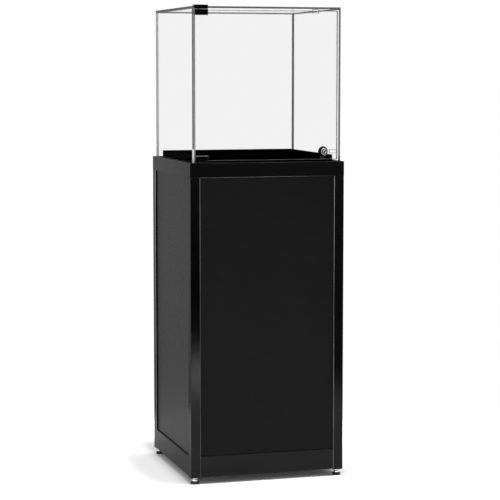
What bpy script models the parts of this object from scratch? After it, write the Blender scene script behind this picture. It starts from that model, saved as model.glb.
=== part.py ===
"""Freestanding display case: a clear cube with a hinged, locking front door on a black framed plinth.

Metres, +Z up. The front faces -Y. The origin is on the floor at the centre of the plinth.
"""

import math

import bmesh
import bpy
from mathutils import Matrix, Vector
from mathutils.geometry import tessellate_polygon

MM = 0.001
GAP = 0.3 * MM  # clearance left between neighbouring solids

# Driving dimensions of the whole case.
PLINTH_WIDTH = 500 * MM
PLINTH_HEIGHT = 985 * MM
FOOT_HEIGHT = 20 * MM
CUBE_SIZE = 480 * MM
SHEET = 6 * MM  # thickness of the clear sheet

# Plinth frame.
POST = 32 * MM
TOP_BAND = 46 * MM
BOTTOM_BAND = 66 * MM
POST_TOE = 2.5 * MM  # how far the posts stand below the bottom rails
WALL = 2.5 * MM
EDGE_RADIUS = 1.5 * MM  # on the outer corners of the frame
ARRIS_RADIUS = 1.2 * MM  # on the edges round each panel
SHEET_ARRIS = 0.4 * MM
RAIL_SETBACK = 0.5 * MM
BOTTOM_RAIL_DEPTH = 28 * MM
PANEL = 4 * MM
PANEL_RECESS = 5 * MM
GROOVE_DEPTH = 6 * MM
SHEET_GROOVE_DEPTH = 3 * MM
LEDGE_REACH = 10 * MM
LEDGE_THICKNESS = 3 * MM
TOP_BOARD = 16 * MM
BASE_BOARD = 9 * MM
DECK = 20 * MM
DECK_MARGIN = 12 * MM  # between the deck and the inside of the clear sheets
DECK_FRONT_MARGIN = 16.5 * MM  # leaves room for the lock behind the door
CLEAT_ARM = 62 * MM
CLEAT_THICKNESS = 8 * MM

# Levelling feet.
THREAD_RADIUS = 5 * MM
HEX_HALF = 8.5 * MM  # half the size across the flats
HEX_TOP = 14.3 * MM
HEX_CHAMFER = 0.8 * MM
PAD_RADIUS = 13 * MM
PAD_HEIGHT = 8 * MM
PAD_CHAMFER = 1.2 * MM
SOCKET_RADIUS = 4.6 * MM  # the recess in the pad, where the end of the stem turns
SOCKET_FLOOR = 2.6 * MM
KNOB_RADIUS = 4.2 * MM  # the end of the stem
KNOB_HEIGHT = 2.4 * MM
KNOB_CHAMFER = 1.2 * MM
NECK_RADIUS = 3.2 * MM
FOOT_NUT_BOTTOM = 15 * MM
STEM_TOP = 52 * MM
STEM_CHAMFER = 1 * MM

# Door and its pivots.
DOOR_HINGE_GAP = 2 * MM
DOOR_LOCK_GAP = 3.5 * MM
DOOR_BOTTOM_GAP = 5.5 * MM
DOOR_TOP_GAP = 11.2 * MM  # below the top of the cube
PIVOT_INSET = 15 * MM  # pivot axis from the hinge edge of the door
PIN_RADIUS = 2 * MM
PIN_DEPTH = 6.5 * MM
PIN_COLLAR_RADIUS = 4.2 * MM
PIN_CHAMFER = 0.6 * MM
PATCH_LEFT = 14.5 * MM
PATCH_RIGHT = 27 * MM
PATCH_HEIGHT = 18 * MM
PATCH_LIP = 2 * MM  # how far a patch runs past the edge of the door
PATCH_PLATE = 3.4 * MM
NOTCH_RIGHT = 12 * MM
NOTCH_DEPTH = 12 * MM
SCREW_HEIGHT = 9 * MM
SCREW_OFFSETS = (-9.5 * MM, 20 * MM)
SCREW_RADIUS = 2 * MM
SCREW_HEAD_RADIUS = 3.8 * MM
SCREW_HEAD = 2.2 * MM
SHEET_HOLE_RADIUS = 3.5 * MM
CLAMP_WIDTH = 43 * MM
CLAMP_DEPTH = 22 * MM
CLAMP_TOP_PLATE = 4 * MM
CLAMP_LOWER_PLATE = 1.9 * MM
HINGE_BASE_THICKNESS = 2.5 * MM
DOOR_STOP_LEFT = 150 * MM
DOOR_STOP_WIDTH = 22 * MM
DOOR_STOP_DEPTH = 7 * MM
DOOR_STOP_DROP = 13 * MM  # below the top sheet

# Cam lock. Distances along its axis are counted forwards from the outer face of the door.
LOCK_INSET = 53.5 * MM  # from the outer face of the right sheet
LOCK_HEIGHT = 30.5 * MM  # above the plinth
BEZEL_RADIUS = 11.5 * MM
BARREL_HEAD_RADIUS = 10.6 * MM
BARREL_RADIUS = 9 * MM
BARREL_REAR = -15.6 * MM
BARREL_FRONT = 7.6 * MM
BEZEL_FRONT = 2.6 * MM
LOCK_ROUNDING = 0.8 * MM
BORE_CHAMFER = 0.6 * MM
PLUG_RADIUS = 6 * MM
TAIL_RADIUS = 3.9 * MM
LOCK_NUT_RADIUS = 16.2 * MM
LOCK_NUT_THICKNESS = 7 * MM
LOCK_NUT_CHAMFER = 1 * MM
CAM_LENGTH = 27 * MM
CAM_WIDTH = 11 * MM
CAM_EYE_RADIUS = 6.5 * MM
CAM_THICKNESS = 2.1 * MM
CAM_SCREW_RADIUS = 1.5 * MM
CAM_SCREW_DEPTH = 5 * MM
CAM_SCREW_HEAD_RADIUS = 5 * MM
CAM_SCREW_HEAD = 2.4 * MM
KEY_SLOT_HALF_WIDTH = 1.1 * MM
KEY_SLOT_HALF_LENGTH = 4.2 * MM
KEY_SLOT_DEPTH = 7 * MM
KEY_SLOT_TILT = math.radians(38)
KEEPER_REACH = 27 * MM  # inwards from the right sheet
KEEPER_HALF_HEIGHT = 6 * MM
KEEPER_DEPTH = 8 * MM
KEEPER_CLEARANCE = 1.5 * MM  # behind the door

# Places worked out from the driving dimensions.
HALF = PLINTH_WIDTH / 2
CUBE_HALF = CUBE_SIZE / 2
INNER_HALF = CUBE_HALF - SHEET
PLINTH_TOP = FOOT_HEIGHT + PLINTH_HEIGHT
CASE_TOP = PLINTH_TOP + CUBE_SIZE
BAND_BOTTOM = PLINTH_TOP - TOP_BAND
RAIL_BOTTOM = FOOT_HEIGHT + POST_TOE
RAIL_TOP = FOOT_HEIGHT + BOTTOM_BAND
PANEL_BACK = PANEL_RECESS + PANEL
FOOT_CENTRE = HALF - POST / 2
DOOR_FACE = -CUBE_HALF  # y of the outer face of the door
DOOR_MIDDLE = DOOR_FACE + SHEET / 2
DOOR_INNER = DOOR_FACE + SHEET
DOOR_LEFT = -INNER_HALF + DOOR_HINGE_GAP
DOOR_RIGHT = INNER_HALF - DOOR_LOCK_GAP
DOOR_BOTTOM = PLINTH_TOP + DOOR_BOTTOM_GAP
DOOR_TOP = CASE_TOP - DOOR_TOP_GAP
PIVOT_X = DOOR_LEFT + PIVOT_INSET
LOCK_X = CUBE_HALF - LOCK_INSET
LOCK_Z = PLINTH_TOP + LOCK_HEIGHT

SIDES = ("front", "right", "back", "left")  # in quarter turns about +Z
CORNERS = ("front_left", "front_right", "back_right", "back_left")
ROUND = "round"
HEX = "hex"
AXIS_FORWARD = (math.pi / 2, 0, 0)  # turns local +Z to face -Y
AXIS_BACKWARD = (-math.pi / 2, 0, 0)  # turns local +Z to face +Y

# Lays a section drawn as (y, z) and extruded along +Z so that it runs along X.
SECTION_ALONG_X = Matrix(((0, 0, 1, 0), (1, 0, 0, 0), (0, 1, 0, 0), (0, 0, 0, 1)))


def clear_scene():
    for obj in list(bpy.data.objects):
        bpy.data.objects.remove(obj, do_unlink=True)


# Materials


def finish(name, colour, roughness, metallic=0.0, transmission=0.0):
    material = bpy.data.materials.get(name)
    if material is None:
        material = bpy.data.materials.new(name)
        material.use_nodes = True
        shader = material.node_tree.nodes["Principled BSDF"]
        shader.inputs["Base Color"].default_value = (*colour, 1.0)
        shader.inputs["Roughness"].default_value = roughness
        shader.inputs["Metallic"].default_value = metallic
        shader.inputs["Transmission Weight"].default_value = transmission
    return material


def powder_coat():
    return finish("black_powder_coat", (0.012, 0.012, 0.013), 0.45)


def board_black():
    return finish("black_faced_board", (0.018, 0.018, 0.019), 0.6)


def deck_black():
    return finish("deck_black", (0.006, 0.006, 0.006), 0.5)


def clear_acrylic():
    return finish("clear_acrylic", (0.95, 0.96, 0.96), 0.03, transmission=1.0)


def hinge_black():
    return finish("hinge_black", (0.008, 0.008, 0.009), 0.4, metallic=0.3)


def chrome():
    return finish("chrome", (0.75, 0.76, 0.78), 0.12, metallic=1.0)


def zinc_steel():
    return finish("zinc_steel", (0.5, 0.5, 0.52), 0.3, metallic=1.0)


def mill_aluminium():
    return finish("mill_aluminium", (0.6, 0.6, 0.62), 0.4, metallic=1.0)


def foot_nylon():
    return finish("foot_nylon", (0.01, 0.01, 0.011), 0.6)


# Outlines, as lists of (x, y) points


def arc(centre, radius, start, end, steps):
    """Points from the start angle to the end angle, in degrees."""
    angles = [math.radians(start + (end - start) * i / steps) for i in range(steps + 1)]
    return [(centre[0] + radius * math.cos(a), centre[1] + radius * math.sin(a)) for a in angles]


def circle(centre, radius, segments=24):
    return arc(centre, radius, 0, 360, segments)[:-1]


def rectangle(low, high):
    return [low, (high[0], low[1]), high, (low[0], high[1])]


def rounded_rectangle(low, high, radius, steps=4):
    inner = rectangle((low[0] + radius, low[1] + radius), (high[0] - radius, high[1] - radius))
    points = []
    for centre, start in zip(inner, (180, 270, 0, 90)):
        points += arc(centre, radius, start, start + 90, steps)
    return points


# Solids


def prism(loops, start, end):
    """Extrude an outline and its holes along Z. start and end are heights or functions of (x, y)."""
    bm = bmesh.new()
    columns = []
    for loop in loops:
        ring = []
        for x, y in loop:
            low = start(x, y) if callable(start) else start
            high = end(x, y) if callable(end) else end
            ring.append((bm.verts.new((x, y, low)), bm.verts.new((x, y, high))))
        for (low_a, high_a), (low_b, high_b) in zip(ring, ring[1:] + ring[:1]):
            bm.faces.new((low_a, low_b, high_b, high_a))
        columns += ring
    flat_loops = [[Vector((x, y, 0)) for x, y in loop] for loop in loops]
    for triangle in tessellate_polygon(flat_loops):
        bm.faces.new([columns[i][0] for i in triangle])
        bm.faces.new([columns[i][1] for i in reversed(triangle)])
    bmesh.ops.recalc_face_normals(bm, faces=bm.faces)
    return bm


def lathe(profile, segments=32, closed=False):
    """Turn (radius, height, kind) points about Z. A HEX point's radius is half its size across flats.

    An open profile starts and ends on the axis; a closed one goes round a wall with a bore.
    """
    bm = bmesh.new()
    rings = []
    for radius, height, kind in profile:
        if radius == 0:
            rings.append([bm.verts.new((0, 0, height))] * segments)
            continue
        ring = []
        for i in range(segments):
            angle = 2 * math.pi * i / segments
            reach = radius
            if kind == HEX:
                reach /= math.cos((angle + math.pi / 6) % (math.pi / 3) - math.pi / 6)
            ring.append(bm.verts.new((reach * math.cos(angle), reach * math.sin(angle), height)))
        rings.append(ring)
    followers = rings[1:] + rings[:1] if closed else rings[1:]
    for ring_a, ring_b in zip(rings, followers):
        for i in range(segments):
            j = (i + 1) % segments
            corners = (ring_a[i], ring_a[j], ring_b[j], ring_b[i])
            bm.faces.new(list(dict.fromkeys(corners)))
    bmesh.ops.recalc_face_normals(bm, faces=bm.faces)
    return bm


def turned(*points):
    return [(radius, height, ROUND) for radius, height in points]


def block(low, high):
    bm = bmesh.new()
    bmesh.ops.create_cube(bm, size=1)
    size = Vector(high) - Vector(low)
    centre = (Vector(high) + Vector(low)) / 2
    bmesh.ops.transform(bm, matrix=Matrix.Translation(centre) @ Matrix.Diagonal((*size, 1)), verts=bm.verts)
    return bm


def to_mesh(name, bm, smooth=False):
    mesh = bpy.data.meshes.new(name)
    bm.to_mesh(mesh)
    bm.free()
    if smooth:
        mesh.shade_smooth()
        mesh.set_sharp_from_angle(angle=math.radians(35))
    return mesh


def place(name, mesh, material, location=(0, 0, 0), rotation=(0, 0, 0), parent=None):
    """Link a mesh as an object. location is in the world's frame, also under a parent."""
    obj = bpy.data.objects.new(name, mesh)
    bpy.context.collection.objects.link(obj)
    if material and not mesh.materials:
        mesh.materials.append(material)
    obj.rotation_euler = rotation
    obj.parent = parent
    obj.location = Vector(location) - (parent.location if parent else Vector())
    return obj


def round_edges(obj, width, segments=2):
    bevel = obj.modifiers.new("edges", "BEVEL")
    bevel.width = width
    bevel.segments = segments
    bevel.limit_method = "ANGLE"
    bevel.angle_limit = math.radians(50)


def combine(mesh, shapes, operation):
    """Return the mesh joined with the shapes, or cut by them, as one closed solid."""
    target = place("combine_target", mesh, None)
    tools = [place("combine_tool", to_mesh("combine_tool", shape), None) for shape in shapes]
    for tool in tools:
        step = target.modifiers.new("combine", "BOOLEAN")
        step.operation = operation
        step.solver = "EXACT"
        step.object = tool
    depsgraph = bpy.context.evaluated_depsgraph_get()
    result = bpy.data.meshes.new_from_object(target.evaluated_get(depsgraph))
    result.name = mesh.name
    for obj in [target, *tools]:
        bpy.data.objects.remove(obj, do_unlink=True)
    return result


def upright_rod(centre, radius, low, high, segments=20):
    return prism([circle(centre, radius, segments)], low, high)


def front_rod(centre, radius, back, front):
    """A cutter along Y, round the point centre = (x, z), from y = front to y = back."""
    bm = prism([circle((0, 0), radius, 20)], front, back)
    turn = Matrix.Translation((centre[0], 0, centre[1])) @ Matrix.Rotation(-math.pi / 2, 4, "X")
    bmesh.ops.transform(bm, matrix=turn, verts=bm.verts)
    return bm


def joint_empty(name, location):
    empty = bpy.data.objects.new(name, None)
    empty.empty_display_size = 20 * MM
    empty.location = location
    bpy.context.collection.objects.link(empty)
    return empty


# Plinth


def post_outline():
    """Section of the front left post, in world x and y, with the two grooves that hold the panels."""
    near = PANEL_RECESS - GAP
    far = PANEL_BACK + GAP
    deep = POST - GROOVE_DEPTH
    shoulder = POST - ARRIS_RADIUS
    points = arc((EDGE_RADIUS, EDGE_RADIUS), EDGE_RADIUS, 180, 270, 4)
    points += arc((shoulder, ARRIS_RADIUS), ARRIS_RADIUS, 270, 360, 3)
    points += [(POST, near), (deep, near), (deep, far), (POST, far), (POST, POST)]
    points += [(far, POST), (far, deep), (near, deep), (near, POST)]
    points += arc((ARRIS_RADIUS, shoulder), ARRIS_RADIUS, 90, 180, 3)
    return [(x - HALF, y - HALF) for x, y in points]


def make_posts():
    centre = (-FOOT_CENTRE, -FOOT_CENTRE)
    loops = [post_outline(), circle(centre, THREAD_RADIUS + GAP)]
    mesh = to_mesh("corner_post", prism(loops, FOOT_HEIGHT, BAND_BOTTOM - GAP))
    for quarter, corner in enumerate(CORNERS):
        place(f"post_{corner}", mesh, powder_coat(), rotation=(0, 0, quarter * math.pi / 2))


def rail_to_world():
    """Rail sections are drawn as (depth inwards, height), for the front of the plinth."""
    return Matrix.Translation((0, -HALF, 0)) @ SECTION_ALONG_X


def top_rail_section(with_sheet_groove):
    near = PANEL_RECESS - GAP
    far = PANEL_BACK + GAP
    low = BAND_BOTTOM
    ledge_top = PLINTH_TOP - TOP_BOARD
    reach = POST + LEDGE_REACH
    points = arc((ARRIS_RADIUS, low + ARRIS_RADIUS), ARRIS_RADIUS, 180, 270, 3)
    points += [(near, low), (near, low + GROOVE_DEPTH), (far, low + GROOVE_DEPTH), (far, low)]
    points += [(POST, low), (POST, ledge_top - LEDGE_THICKNESS), (reach, ledge_top - LEDGE_THICKNESS)]
    points += [(reach, ledge_top), (POST, ledge_top), (POST, PLINTH_TOP)]
    if with_sheet_groove:
        outer = HALF - CUBE_HALF - GAP
        inner = HALF - INNER_HALF + GAP
        floor = PLINTH_TOP - SHEET_GROOVE_DEPTH
        points += [(inner, PLINTH_TOP), (inner, floor), (outer, floor), (outer, PLINTH_TOP)]
    points += arc((EDGE_RADIUS, PLINTH_TOP - EDGE_RADIUS), EDGE_RADIUS, 90, 180, 4)
    return points


def top_rail_chamber():
    low = BAND_BOTTOM + GROOVE_DEPTH + WALL
    high = PLINTH_TOP - SHEET_GROOVE_DEPTH - WALL
    return rectangle((WALL, low), (POST - WALL, high))


def top_rail(with_sheet_groove):
    """A rail whose ends are mitred: it grows shorter with the distance inwards from its face."""
    mitre_gap = GAP / math.sqrt(2)
    loops = [top_rail_section(with_sheet_groove), top_rail_chamber()]
    bm = prism(loops, lambda x, y: x + mitre_gap - HALF, lambda x, y: HALF - mitre_gap - x)
    bmesh.ops.transform(bm, matrix=rail_to_world(), verts=bm.verts)
    return bm


def make_top_frame():
    grooved = to_mesh("top_rail", top_rail(with_sheet_groove=True))
    plain = to_mesh("top_rail_front", top_rail(with_sheet_groove=False))
    for quarter, side in enumerate(SIDES):
        mesh = plain if side == "front" else grooved
        place(f"top_rail_{side}", mesh, powder_coat(), rotation=(0, 0, quarter * math.pi / 2))


def make_corner_cleats():
    """L-shaped keys inside the hollow top rails, one across each mitre."""
    outer = WALL + GAP - HALF
    inner = POST - WALL - GAP - HALF
    tip = outer + CLEAT_ARM
    outline = [(outer, outer), (tip, outer), (tip, inner), (inner, inner), (inner, tip), (outer, tip)]
    low = BAND_BOTTOM + (TOP_BAND - CLEAT_THICKNESS) / 2
    mesh = to_mesh("corner_cleat", prism([outline], low, low + CLEAT_THICKNESS))
    for quarter, corner in enumerate(CORNERS):
        place(f"cleat_{corner}", mesh, mill_aluminium(), rotation=(0, 0, quarter * math.pi / 2))


def bottom_rail():
    near = PANEL_RECESS - GAP
    far = PANEL_BACK + GAP
    floor = RAIL_TOP - GROOVE_DEPTH
    back = BOTTOM_RAIL_DEPTH
    section = [(RAIL_SETBACK, RAIL_BOTTOM), (back, RAIL_BOTTOM), (back, RAIL_TOP), (far, RAIL_TOP)]
    section += [(far, floor), (near, floor), (near, RAIL_TOP)]
    arris_centre = (RAIL_SETBACK + ARRIS_RADIUS, RAIL_TOP - ARRIS_RADIUS)
    section += arc(arris_centre, ARRIS_RADIUS, 90, 180, 3)
    chamber_low = (RAIL_SETBACK + WALL, RAIL_BOTTOM + WALL)
    chamber = rectangle(chamber_low, (back - WALL, floor - WALL))
    reach = HALF - POST - GAP
    bm = prism([section, chamber], -reach, reach)
    bmesh.ops.transform(bm, matrix=rail_to_world(), verts=bm.verts)
    return bm


def make_bottom_rails():
    mesh = to_mesh("bottom_rail", bottom_rail())
    for quarter, side in enumerate(SIDES):
        place(f"bottom_rail_{side}", mesh, powder_coat(), rotation=(0, 0, quarter * math.pi / 2))


def make_panels():
    """Four boards whose edges sit in the grooves of the posts and rails."""
    reach = HALF - POST + GROOVE_DEPTH - GAP
    low = RAIL_TOP - GROOVE_DEPTH + GAP
    high = BAND_BOTTOM + GROOVE_DEPTH - GAP
    front = PANEL_RECESS - HALF
    mesh = to_mesh("panel", block((-reach, front, low), (reach, front + PANEL, high)))
    for quarter, side in enumerate(SIDES):
        place(f"panel_{side}", mesh, board_black(), rotation=(0, 0, quarter * math.pi / 2))


def make_base_board():
    """The board across the bottom rails, notched round the posts."""
    reach = HALF - PANEL_BACK - GAP
    notch = HALF - POST - GAP
    corner = [(notch, -reach), (notch, -notch), (reach, -notch)]
    outline = []
    for quarter in range(4):
        turn = Matrix.Rotation(quarter * math.pi / 2, 2)
        outline += [tuple(turn @ Vector(point)) for point in corner]
    low = RAIL_TOP + GAP
    mesh = to_mesh("base_board", prism([outline], low, low + BASE_BOARD))
    place("base_board", mesh, board_black())


def make_top_board():
    reach = HALF - POST - GAP
    low = PLINTH_TOP - TOP_BOARD + GAP
    mesh = to_mesh("top_board", block((-reach, -reach, low), (reach, reach, PLINTH_TOP)))
    place("top_board", mesh, board_black())


def make_deck():
    """The raised black board that exhibits stand on."""
    reach = INNER_HALF - DECK_MARGIN
    front = -INNER_HALF + DECK_FRONT_MARGIN
    low = PLINTH_TOP + GAP
    mesh = to_mesh("display_deck", block((-reach, front, low), (reach, reach, PLINTH_TOP + DECK)))
    deck = place("display_deck", mesh, deck_black())
    round_edges(deck, 1 * MM)


def make_feet():
    """Each foot is a nylon pad, a threaded stem with a hexagon, and a nut locked up under the post."""
    pad = lathe(
        turned(
            (0, 0),
            (PAD_RADIUS - PAD_CHAMFER, 0),
            (PAD_RADIUS, PAD_CHAMFER),
            (PAD_RADIUS, PAD_HEIGHT - PAD_CHAMFER),
            (PAD_RADIUS - PAD_CHAMFER, PAD_HEIGHT),
            (SOCKET_RADIUS, PAD_HEIGHT),
            (SOCKET_RADIUS, SOCKET_FLOOR),
            (0, SOCKET_FLOOR),
        )
    )
    hex_bottom = PAD_HEIGHT + GAP
    hex_inner = HEX_HALF - HEX_CHAMFER
    knob_low = SOCKET_FLOOR + GAP
    knob_high = knob_low + KNOB_HEIGHT
    stem_profile = turned((0, knob_low), (KNOB_RADIUS - KNOB_CHAMFER, knob_low))
    stem_profile += turned((KNOB_RADIUS, knob_low + KNOB_CHAMFER), (KNOB_RADIUS, knob_high))
    stem_profile += turned((NECK_RADIUS, knob_high + KNOB_CHAMFER), (NECK_RADIUS, hex_bottom))
    stem_profile += [(hex_inner, hex_bottom, ROUND), (HEX_HALF, hex_bottom + HEX_CHAMFER, HEX)]
    stem_profile += [(HEX_HALF, HEX_TOP - HEX_CHAMFER, HEX), (hex_inner, HEX_TOP, ROUND)]
    stem_profile += turned((THREAD_RADIUS, HEX_TOP), (THREAD_RADIUS, STEM_TOP - STEM_CHAMFER))
    stem_profile += turned((THREAD_RADIUS - STEM_CHAMFER, STEM_TOP), (0, STEM_TOP))
    stem = lathe(stem_profile, segments=24)
    bore = THREAD_RADIUS + GAP
    nut_top = FOOT_HEIGHT - GAP
    nut_profile = turned((bore, FOOT_NUT_BOTTOM), (hex_inner, FOOT_NUT_BOTTOM))
    nut_profile += [(HEX_HALF, FOOT_NUT_BOTTOM + HEX_CHAMFER, HEX), (HEX_HALF, nut_top, HEX)]
    nut_profile += turned((bore, nut_top))
    nut = lathe(nut_profile, segments=24, closed=True)
    pad_mesh = to_mesh("foot_pad", pad, smooth=True)
    stem_mesh = to_mesh("foot_stem", stem, smooth=True)
    nut_mesh = to_mesh("foot_nut", nut, smooth=True)
    for quarter, corner in enumerate(CORNERS):
        centre = Matrix.Rotation(quarter * math.pi / 2, 3, "Z") @ Vector((-FOOT_CENTRE, -FOOT_CENTRE, 0))
        axis = joint_empty(f"foot_axis_{corner}", centre)
        place(f"foot_pad_{corner}", pad_mesh, foot_nylon(), centre)
        place(f"foot_nut_{corner}", nut_mesh, zinc_steel(), centre)
        place(f"foot_stem_{corner}", stem_mesh, chrome(), centre, parent=axis)


# Clear cube


def clear_sheet(name, bm, parent=None):
    location = (0, DOOR_MIDDLE, 0) if parent else (0, 0, 0)
    sheet = place(name, to_mesh(name, bm), clear_acrylic(), location, parent=parent)
    round_edges(sheet, SHEET_ARRIS, segments=1)
    return sheet


def side_sheet(name, side):
    """A side of the cube, standing in the rail's groove and notched clear of the front rail."""
    low = PLINTH_TOP - SHEET_GROOVE_DEPTH + GAP
    high = CASE_TOP - SHEET - GAP
    notch_end = -INNER_HALF + GAP
    notch_top = PLINTH_TOP + GAP
    outline = [(-CUBE_HALF, notch_top), (notch_end, notch_top), (notch_end, low), (CUBE_HALF, low)]
    outline += [(CUBE_HALF, high), (-CUBE_HALF, high)]
    bm = prism([outline], *sorted((side * INNER_HALF, side * CUBE_HALF)))
    bmesh.ops.transform(bm, matrix=SECTION_ALONG_X, verts=bm.verts)
    clear_sheet(name, bm)


def make_cube():
    side_sheet("clear_left", -1)
    side_sheet("clear_right", 1)
    reach = INNER_HALF - GAP
    low = PLINTH_TOP - SHEET_GROOVE_DEPTH + GAP
    high = CASE_TOP - SHEET
    clear_sheet("clear_back", block((-reach, INNER_HALF, low), (reach, CUBE_HALF, high - GAP)))
    clear_sheet("clear_top", block((-CUBE_HALF, -CUBE_HALF, high), (CUBE_HALF, CUBE_HALF, CASE_TOP)))


def make_door_stop():
    """A clear block under the top sheet that the closed door rests against."""
    ceiling = CASE_TOP - SHEET
    low = (DOOR_STOP_LEFT, DOOR_INNER + GAP, ceiling - DOOR_STOP_DROP)
    high = (DOOR_STOP_LEFT + DOOR_STOP_WIDTH, DOOR_INNER + DOOR_STOP_DEPTH, ceiling - GAP)
    clear_sheet("door_stop", block(low, high))


def make_lock_keeper():
    """A clear block on the right sheet. The cam turns in behind it to hold the door shut."""
    front = DOOR_INNER + KEEPER_CLEARANCE
    low = (INNER_HALF - KEEPER_REACH, front, LOCK_Z - KEEPER_HALF_HEIGHT)
    high = (INNER_HALF - GAP, front + KEEPER_DEPTH, LOCK_Z + KEEPER_HALF_HEIGHT)
    clear_sheet("lock_keeper", block(low, high))


# Door


def door_outline():
    """The door's outline in x and z, notched at both hinge corners for the pivot blocks."""
    notch_x = PIVOT_X + NOTCH_RIGHT
    low = DOOR_BOTTOM + NOTCH_DEPTH
    high = DOOR_TOP - NOTCH_DEPTH
    points = [(DOOR_LEFT, low), (notch_x, low), (notch_x, DOOR_BOTTOM), (DOOR_RIGHT, DOOR_BOTTOM)]
    points += [(DOOR_RIGHT, DOOR_TOP), (notch_x, DOOR_TOP), (notch_x, high), (DOOR_LEFT, high)]
    return points


def make_door(axis):
    screw_x = PIVOT_X + SCREW_OFFSETS[1]
    screw_depth = SCREW_HEIGHT - PATCH_LIP
    loops = [door_outline(), circle((LOCK_X, LOCK_Z), BARREL_RADIUS + 2 * GAP, 32)]
    for z in (DOOR_BOTTOM + screw_depth, DOOR_TOP - screw_depth):
        loops.append(circle((screw_x, z), SHEET_HOLE_RADIUS, 16))
    bm = prism(loops, -SHEET / 2, SHEET / 2)
    bmesh.ops.transform(bm, matrix=Matrix.Rotation(math.pi / 2, 4, "X"), verts=bm.verts)
    clear_sheet("clear_door", bm, parent=axis)


def patch_outer():
    """Outer half of a door patch: a plate in front and the block that fills the door's notch.

    Local origin: on the pivot axis, at the end of the patch. +Z runs into the door.
    """
    face = -SHEET / 2 - GAP
    plate = block((-PATCH_LEFT, face - PATCH_PLATE, 0), (PATCH_RIGHT, face, PATCH_HEIGHT))
    block_top = PATCH_LIP + NOTCH_DEPTH - GAP
    filler = block((-PATCH_LEFT, face - GAP, 0), (NOTCH_RIGHT - GAP, SHEET / 2, block_top))
    joined = combine(to_mesh("patch_outer", plate), [filler], "UNION")
    holes = [upright_rod((0, 0), PIN_RADIUS + GAP, -GAP, PIN_DEPTH + 3 * GAP)]
    hole_front = face - PATCH_PLATE / 2
    for offset in SCREW_OFFSETS:
        holes.append(front_rod((offset, SCREW_HEIGHT), SCREW_RADIUS + GAP, SHEET, hole_front))
    return combine(joined, holes, "DIFFERENCE")


def patch_inner():
    """Inner half of a door patch: a plate with two clearance holes for its screws."""
    outline = rectangle((-PATCH_LEFT, 0), (PATCH_RIGHT, PATCH_HEIGHT))
    holes = [circle((offset, SCREW_HEIGHT), SCREW_RADIUS + GAP, 20) for offset in SCREW_OFFSETS]
    face = SHEET / 2 + GAP
    bm = prism([outline, *holes], -face - PATCH_PLATE + GAP, -face)
    bmesh.ops.transform(bm, matrix=Matrix.Rotation(math.pi / 2, 4, "X"), verts=bm.verts)
    return to_mesh("patch_inner", bm)


def patch_screw():
    """A button-head screw. Local origin: under the head, with the head on +Z."""
    length = PATCH_PLATE + SHEET + 3 * GAP + PATCH_PLATE / 3
    rim = SCREW_HEAD / 2
    profile = turned((0, -length), (SCREW_RADIUS, -length), (SCREW_RADIUS, 0), (SCREW_HEAD_RADIUS, 0))
    profile += turned((SCREW_HEAD_RADIUS, rim), (SCREW_HEAD_RADIUS - rim, SCREW_HEAD), (0, SCREW_HEAD))
    return to_mesh("patch_screw", lathe(profile, segments=20), smooth=True)


def flipped(mesh):
    """The same solid upside down."""
    bm = bmesh.new()
    bm.from_mesh(mesh)
    bmesh.ops.transform(bm, matrix=Matrix.Diagonal((1, 1, -1, 1)), verts=bm.verts)
    bmesh.ops.reverse_faces(bm, faces=bm.faces)
    return to_mesh(mesh.name + "_flipped", bm)


def make_patches(axis):
    outer = patch_outer()
    inner = patch_inner()
    screw = patch_screw()
    screw_seat = DOOR_INNER + PATCH_PLATE + 2 * GAP
    ends = {"bottom": (DOOR_BOTTOM - PATCH_LIP, 1), "top": (DOOR_TOP + PATCH_LIP, -1)}
    for end, (z, direction) in ends.items():
        outer_mesh = outer if direction > 0 else flipped(outer)
        inner_mesh = inner if direction > 0 else flipped(inner)
        place_at = (PIVOT_X, DOOR_MIDDLE, z)
        for name, mesh in ((f"{end}_patch_outer", outer_mesh), (f"{end}_patch_inner", inner_mesh)):
            half = place(name, mesh, hinge_black(), place_at, parent=axis)
            round_edges(half, SHEET_ARRIS, segments=1)
        screw_z = z + direction * SCREW_HEIGHT
        for number, offset in enumerate(SCREW_OFFSETS, start=1):
            seat = (PIVOT_X + offset, screw_seat, screw_z)
            place(f"{end}_patch_screw_{number}", screw, zinc_steel(), seat, AXIS_BACKWARD, axis)


# Fixed half of the hinges


def make_top_clamp():
    """A clip gripping the front edge of the top sheet, drilled below for the pivot pin."""
    front = DOOR_FACE - GAP - PATCH_PLATE
    edge = DOOR_FACE - GAP
    back = front + CLAMP_DEPTH
    over = CASE_TOP + GAP
    under = CASE_TOP - SHEET - GAP
    low = under - CLAMP_LOWER_PLATE
    section = [(front, low), (back, low), (back, under), (edge, under), (edge, over), (back, over)]
    section += [(back, over + CLAMP_TOP_PLATE), (front, over + CLAMP_TOP_PLATE)]
    left = -INNER_HALF + 2 * GAP
    bm = prism([section], left, left + CLAMP_WIDTH)
    bmesh.ops.transform(bm, matrix=SECTION_ALONG_X, verts=bm.verts)
    hole = upright_rod((PIVOT_X, DOOR_MIDDLE), PIN_RADIUS, low - GAP, under + GAP)
    clamp = combine(to_mesh("top_hinge_clamp", bm), [hole], "DIFFERENCE")
    place("top_hinge_clamp", clamp, hinge_black())


def pivot_pin(seat_depth, collar, rise):
    """A pin with a spigot in its seat, a collar, and the pivot itself. Local origin: the seat's face."""
    profile = turned((0, -seat_depth), (PIN_RADIUS - GAP, -seat_depth), (PIN_RADIUS - GAP, GAP))
    profile += turned((PIN_COLLAR_RADIUS, GAP), (PIN_COLLAR_RADIUS, GAP + collar))
    profile += turned((PIN_RADIUS, GAP + collar), (PIN_RADIUS, rise - PIN_CHAMFER))
    profile += turned((PIN_RADIUS - PIN_CHAMFER, rise), (0, rise))
    return to_mesh("pivot_pin", lathe(profile, segments=20), smooth=True)


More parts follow.
